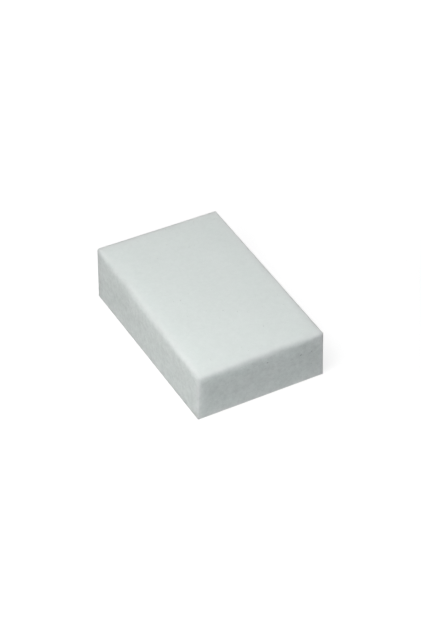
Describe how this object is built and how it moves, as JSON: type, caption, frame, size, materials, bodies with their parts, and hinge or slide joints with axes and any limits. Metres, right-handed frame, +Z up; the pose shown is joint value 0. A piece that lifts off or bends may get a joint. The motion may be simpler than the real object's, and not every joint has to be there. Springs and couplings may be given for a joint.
{
  "type": "melamine foam cleaning sponge",
  "caption": "Plain rectangular block of fine-celled white foam with soft arrises, held in the hand and rubbed over a surface to clean it.",
  "frame": {"origin": "middle of the face that the block rests on", "axes": "+Y along the length towards the slightly thicker end, +X across the width, +Z up through the thickness"},
  "size_m": [0.0634, 0.1016, 0.0264],
  "materials": {
    "melamine_foam": "white open-celled melamine foam, knife cut, matt with very fine pores"
  },
  "bodies": {
    "root": {"foam_block": "melamine_foam"}
  },
  "joints": []
}
